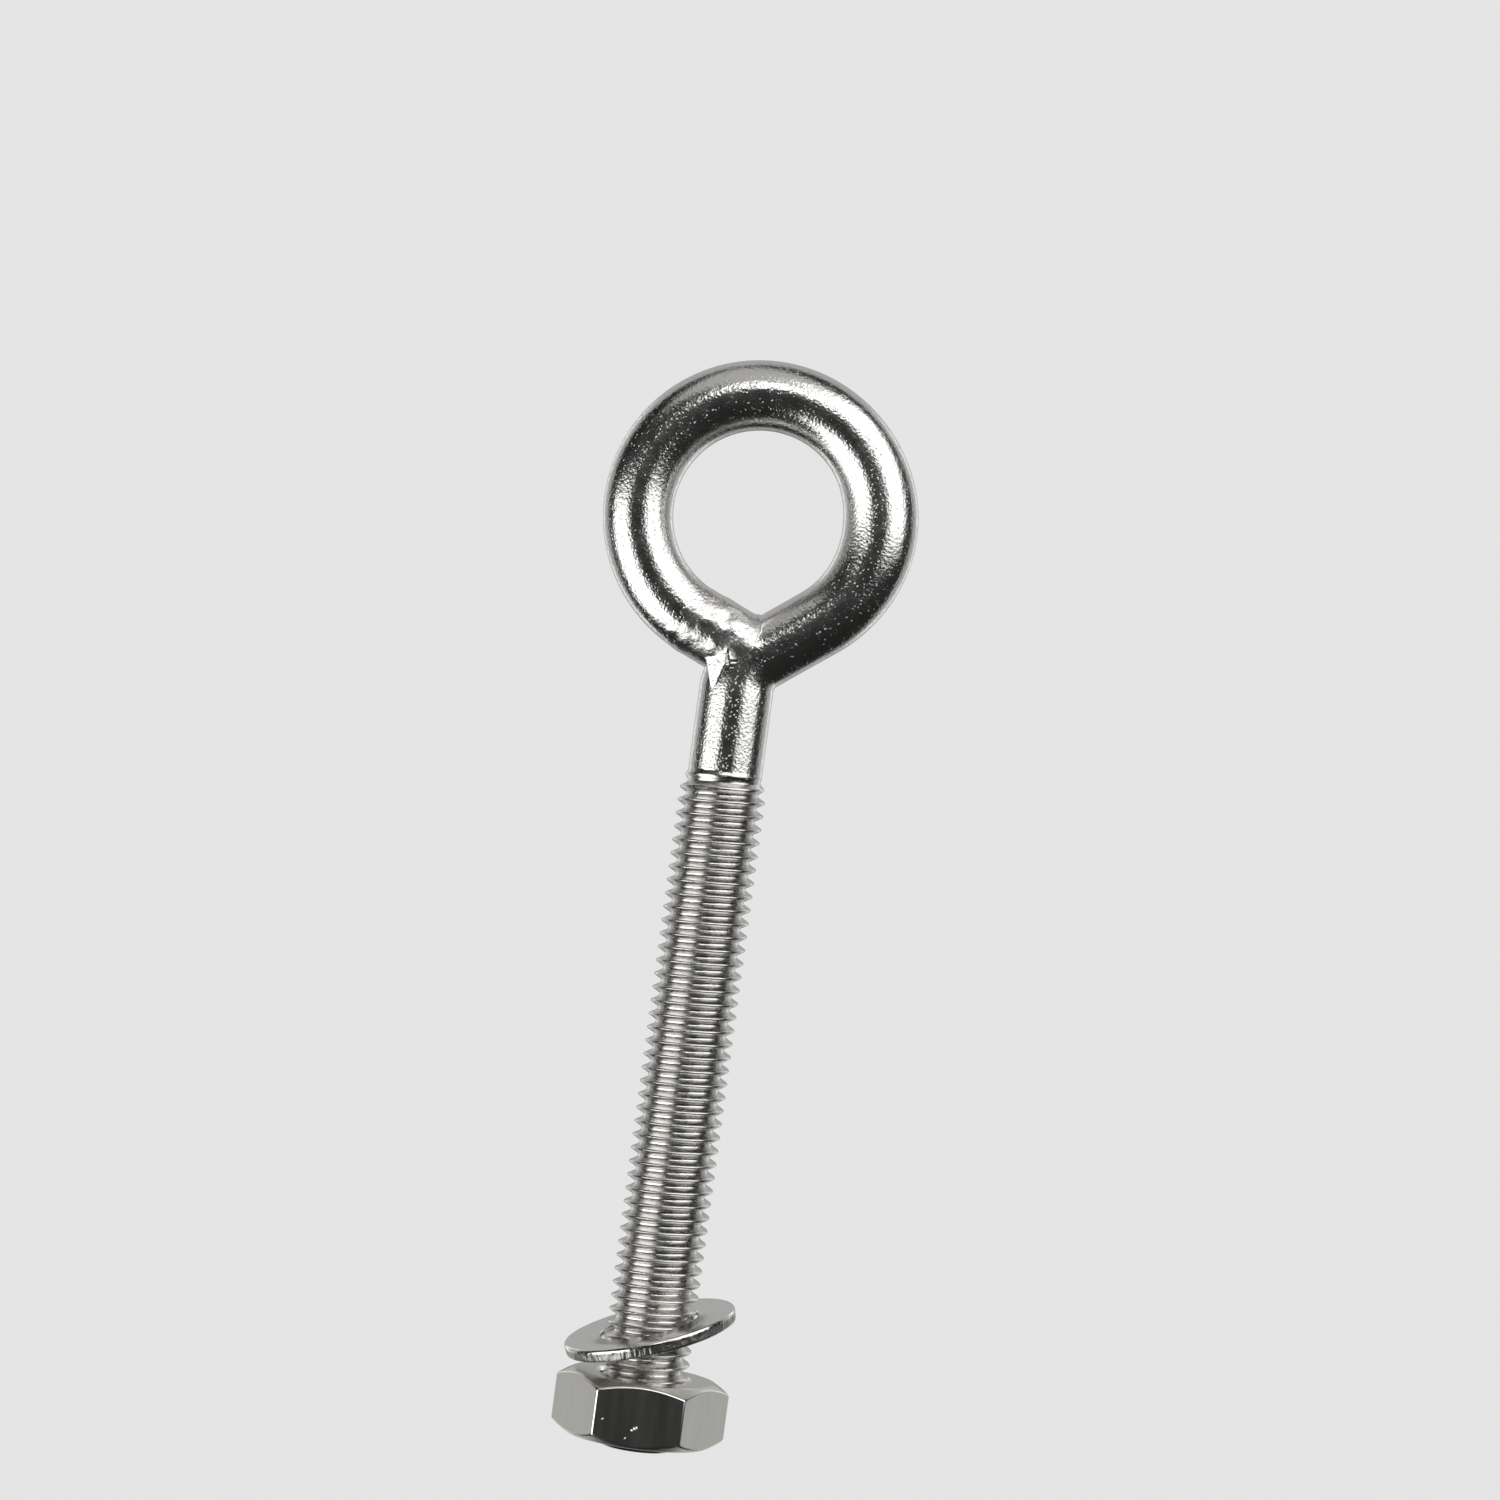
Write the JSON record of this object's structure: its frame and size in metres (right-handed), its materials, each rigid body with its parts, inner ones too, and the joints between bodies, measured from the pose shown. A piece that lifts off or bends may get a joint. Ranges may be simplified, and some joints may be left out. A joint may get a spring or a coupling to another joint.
{
  "type": "eye bolt",
  "caption": "Stainless steel eye bolt: bar bent and welded into a closed eye, plain shank, long rolled metric thread, loose flat washer and hex nut.",
  "frame": {"origin": "centre of the eye, on the bar's middle plane", "axes": "+Z along the shank from the thread to the eye, +Y through the eye's hole"},
  "size_m": [0.0351, 0.0194, 0.1216],
  "materials": {
    "bar_steel": "bright polished stainless steel with a fine pebbled skin",
    "weld_metal": "bright lumpy weld metal",
    "washer_steel": "satin grey faces with scratches and a sheared edge",
    "nut_steel": "polished stainless steel with fine brush lines"
  },
  "bodies": {
    "eye_bolt": {"eye_rod": "bar_steel", "eye_weld": "weld_metal"},
    "washer": {"flat_washer": "washer_steel"},
    "nut": {"hex_nut": "nut_steel"}
  },
  "joints": [
    {"name": "nut_travel", "type": "slide", "parent": "eye_bolt", "child": "washer", "axis": [0, 0, 1], "range_m": [0, 0.0645]},
    {"name": "nut_spin", "type": "hinge", "parent": "washer", "child": "nut", "pos_m": [0, 0, -0.1033], "axis": [0, 0, 1], "range_deg": [0, 15480]}
  ],
  "couplings": [
    {"joint": "nut_travel", "follows": "nut_spin", "m_per_rad": 0.00023873}
  ]
}
